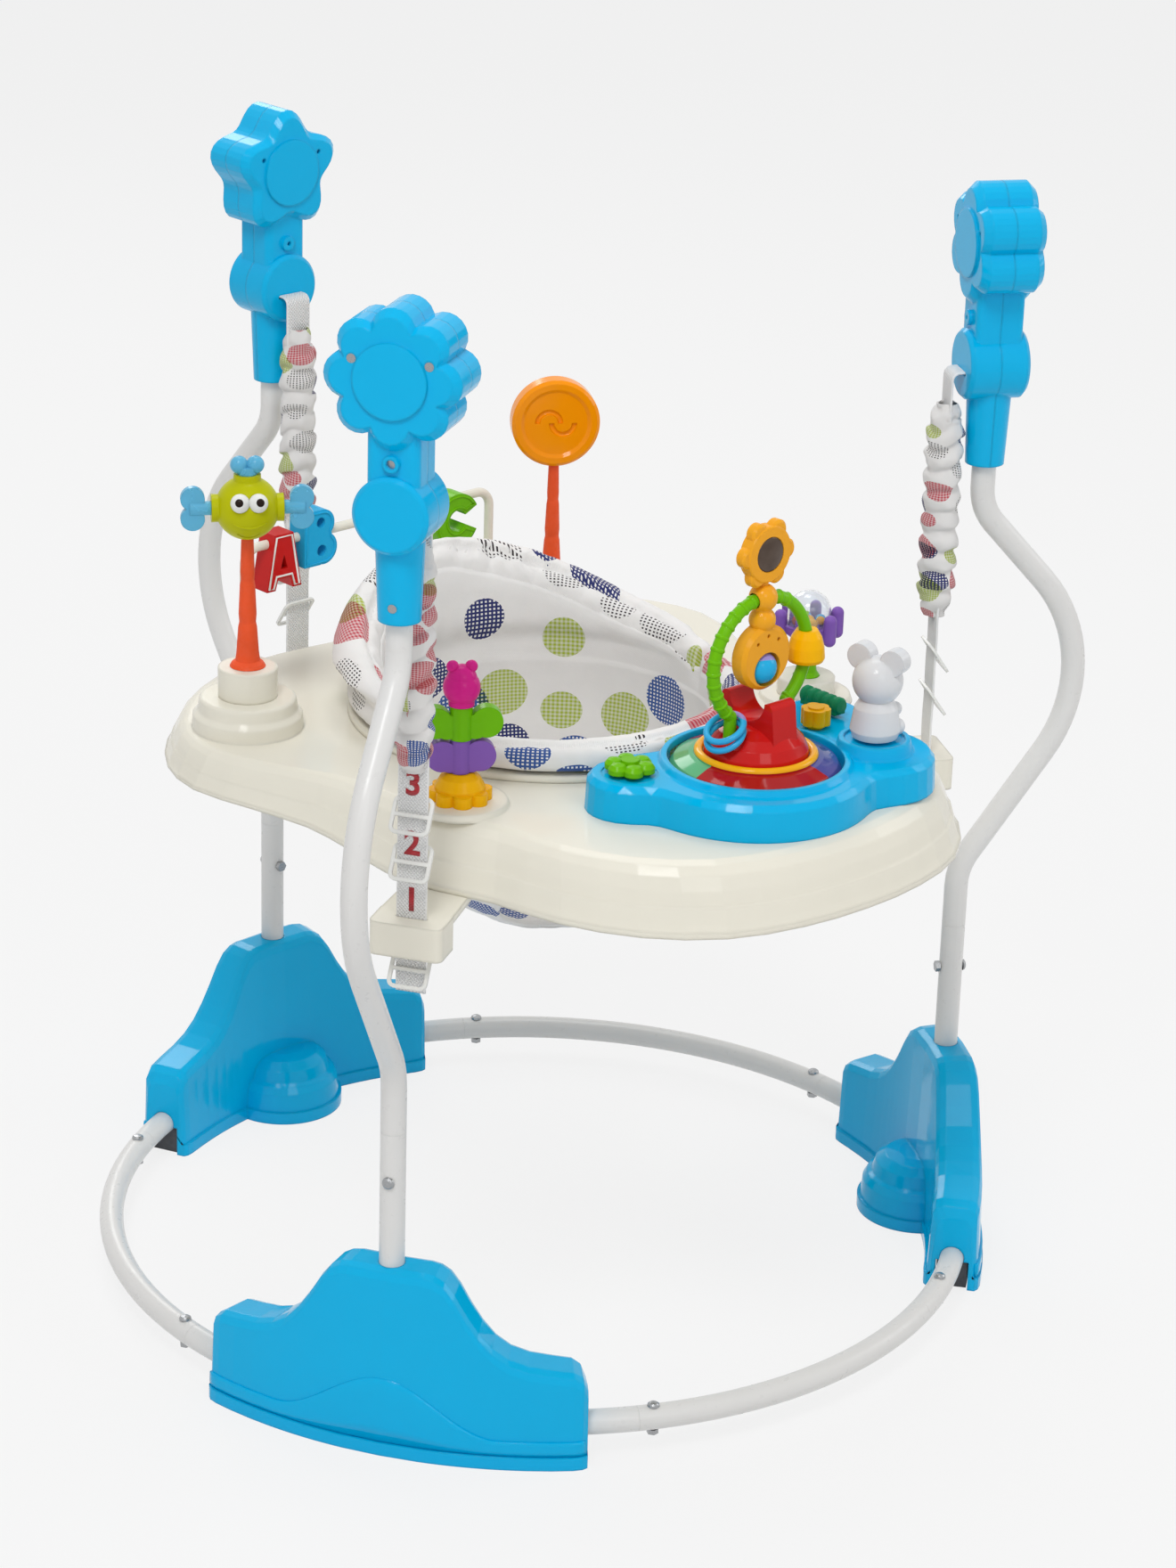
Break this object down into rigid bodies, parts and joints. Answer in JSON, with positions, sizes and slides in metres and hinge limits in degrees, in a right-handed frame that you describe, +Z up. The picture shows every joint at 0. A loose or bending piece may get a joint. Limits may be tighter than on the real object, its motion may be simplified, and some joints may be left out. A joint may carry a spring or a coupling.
{
  "type": "baby jumper frame",
  "caption": "Free-standing baby jumper: a ring base with feet and bowed posts hangs a round toy tray with a swivelling cloth seat from sprung straps, with toys round the tray.",
  "frame": {"origin": "middle of the footprint's box at floor level", "axes": "+Z up; -Y towards the front, where the turntable toy is; +X to the child's left seen from above with the front below"},
  "size_m": [0.7992, 0.8299, 0.9167],
  "materials": {
    "tube_white": "white powder-coated steel tube",
    "zinc": "bright zinc-plated screws and button pins",
    "pad_grey": "dark grey non-slip pad",
    "blue_gloss": "glossy moulded sky blue",
    "cream_gloss": "glossy moulded cream",
    "white_gloss": "glossy moulded white",
    "webbing": "white woven webbing",
    "dotted_cloth": "off-white cotton with large printed dots",
    "spring_steel": "drawn spring wire",
    "lime": "glossy lime green",
    "eye_white": "white eyes with dark pupils",
    "fin_blue": "translucent light blue",
    "red_orange": "soft red-orange moulded stalk",
    "wire_white": "white coated wire",
    "red": "glossy red",
    "sky": "glossy light blue",
    "green": "glossy green",
    "orange": "glossy orange",
    "yellow": "glossy warm yellow",
    "purple": "glossy purple",
    "pink": "glossy pink",
    "clear": "clear moulded dome"
  },
  "bodies": {
    "frame": {"base_tubes": "tube_white", "foot_tubes": "tube_white", "foot_pads": "pad_grey", "foot_cover_rear": "blue_gloss", "foot_cover_left": "blue_gloss", "foot_cover_right": "blue_gloss", "frame_bolts": "zinc", "lower_posts": "tube_white", "upper_posts": "tube_white", "star_head_outer": "blue_gloss", "star_head_inner": "blue_gloss", "flower_head_outer": "blue_gloss", "flower_head_inner": "blue_gloss", "cloud_head_outer": "blue_gloss", "cloud_head_inner": "blue_gloss", "head_screws": "zinc", "top_webbing": "webbing", "spring_sleeves": "dotted_cloth", "suspension_springs": "spring_steel"},
    "tray": {"lower_straps": "webbing", "strap_rings": "white_gloss", "tray_shell": "cream_gloss", "tray_frame": "cream_gloss", "toy_cups": "cream_gloss", "wire_arch": "wire_white", "stack_base": "yellow", "panel_body": "blue_gloss", "spinner_post": "green"},
    "seat": {"seat_ring": "cream_gloss", "rim_pad": "dotted_cloth", "seat_back": "dotted_cloth", "seat_sling": "dotted_cloth"},
    "fish_toy": {"fish_stalk": "red_orange", "fish_body": "lime", "fish_eyes": "eye_white", "fish_fins": "fin_blue"},
    "lollipop_toy": {"lollipop_stalk": "red_orange", "lollipop_disc": "orange"},
    "letter_a_body": {"letter_a": "red"},
    "letter_b_body": {"letter_b": "sky"},
    "letter_c_body": {"letter_c": "green"},
    "stack_lower_body": {"stack_lower": "purple"},
    "stack_middle_body": {"stack_middle": "green"},
    "stack_top_body": {"stack_top": "pink"},
    "flower_button_body": {"flower_button": "lime"},
    "yellow_button_body": {"yellow_button": "yellow"},
    "worm_body": {"worm_button": "green"},
    "bear_body": {"bear": "white_gloss"},
    "turntable_body": {"turntable": "red", "cradle": "red", "rattle_loop": "green"},
    "rattle": {"rattle_body": "yellow", "sun_mirror": "orange"},
    "rattle_ball_body": {"rattle_ball": "sky"},
    "bead_body": {"loop_bead": "yellow"},
    "rings_body": {"link_rings": "purple"},
    "spinner": {"spinner_bowl": "purple", "spinner_dome": "clear", "spinner_balls": "orange"}
  },
  "joints": [
    {"name": "bounce", "type": "slide", "parent": "frame", "child": "tray", "axis": [0, 0, 1], "range_m": [-0.06, 0.025], "stiffness_N_per_m": 1500, "springref_m": 0.0309, "deforming": ["spring_sleeves", "suspension_springs"]},
    {"name": "seat_swivel", "type": "hinge", "parent": "tray", "child": "seat", "pos_m": [0, -0.045, 0.46], "axis": [0, 0, 1], "continuous": true},
    {"name": "fish_turn", "type": "hinge", "parent": "tray", "child": "fish_toy", "pos_m": [-0.21304, 0.078, 0.535], "axis": [0, 0, 1], "range_deg": [-60, 60]},
    {"name": "lollipop_turn", "type": "hinge", "parent": "tray", "child": "lollipop_toy", "pos_m": [0.1662, 0.1364, 0.517], "axis": [0, 0, 1], "range_deg": [-60, 60]},
    {"name": "letter_a_spin", "type": "hinge", "parent": "tray", "child": "letter_a_body", "pos_m": [-0.1, 0.183, 0.588], "axis": [1, 0, 0], "continuous": true},
    {"name": "letter_b_spin", "type": "hinge", "parent": "tray", "child": "letter_b_body", "pos_m": [-0.061, 0.183, 0.588], "axis": [1, 0, 0], "continuous": true},
    {"name": "letter_c_spin", "type": "hinge", "parent": "tray", "child": "letter_c_body", "pos_m": [0.09, 0.183, 0.588], "axis": [1, 0, 0], "continuous": true},
    {"name": "stack_lower_spin", "type": "hinge", "parent": "tray", "child": "stack_lower_body", "pos_m": [-0.18879, -0.154, 0.5103], "axis": [0, 0, 1], "continuous": true},
    {"name": "stack_middle_spin", "type": "hinge", "parent": "tray", "child": "stack_middle_body", "pos_m": [-0.18879, -0.154, 0.5376], "axis": [0, 0, 1], "continuous": true},
    {"name": "stack_top_spin", "type": "hinge", "parent": "tray", "child": "stack_top_body", "pos_m": [-0.18879, -0.154, 0.5649], "axis": [0, 0, 1], "continuous": true},
    {"name": "flower_press", "type": "slide", "parent": "tray", "child": "flower_button_body", "axis": [0, 0, 1], "range_m": [-0.003, 0], "stiffness_N_per_m": 400, "springref_m": 0.001},
    {"name": "yellow_press", "type": "slide", "parent": "tray", "child": "yellow_button_body", "axis": [0, 0, 1], "range_m": [-0.003, 0], "stiffness_N_per_m": 400, "springref_m": 0.001},
    {"name": "worm_press", "type": "slide", "parent": "tray", "child": "worm_body", "axis": [0, 0, 1], "range_m": [-0.003, 0], "stiffness_N_per_m": 400, "springref_m": 0.001},
    {"name": "bear_press", "type": "slide", "parent": "tray", "child": "bear_body", "axis": [0, 0, 1], "range_m": [-0.003, 0], "stiffness_N_per_m": 400, "springref_m": 0.003},
    {"name": "turntable_spin", "type": "hinge", "parent": "tray", "child": "turntable_body", "pos_m": [0, -0.285, 0.505], "axis": [0, 0, 1], "continuous": true},
    {"name": "rattle_swing", "type": "hinge", "parent": "turntable_body", "child": "rattle", "pos_m": [0, -0.285, 0.647], "axis": [1, 0, 0], "range_deg": [-20, 20]},
    {"name": "rattle_ball_spin", "type": "hinge", "parent": "rattle", "child": "rattle_ball_body", "pos_m": [0, -0.285, 0.59064], "axis": [1, 0, 0], "continuous": true},
    {"name": "bead_slide_round", "type": "hinge", "parent": "turntable_body", "child": "bead_body", "pos_m": [0, -0.285, 0.597], "axis": [0, -1, 0], "range_deg": [-25, 35]},
    {"name": "rings_swing", "type": "hinge", "parent": "turntable_body", "child": "rings_body", "pos_m": [-0.03, -0.285, 0.542], "axis": [0, 0, 1], "range_deg": [-20, 20]},
    {"name": "spinner_spin", "type": "hinge", "parent": "tray", "child": "spinner", "pos_m": [0.18879, -0.154, 0.535], "axis": [0, 0, 1], "continuous": true}
  ]
}
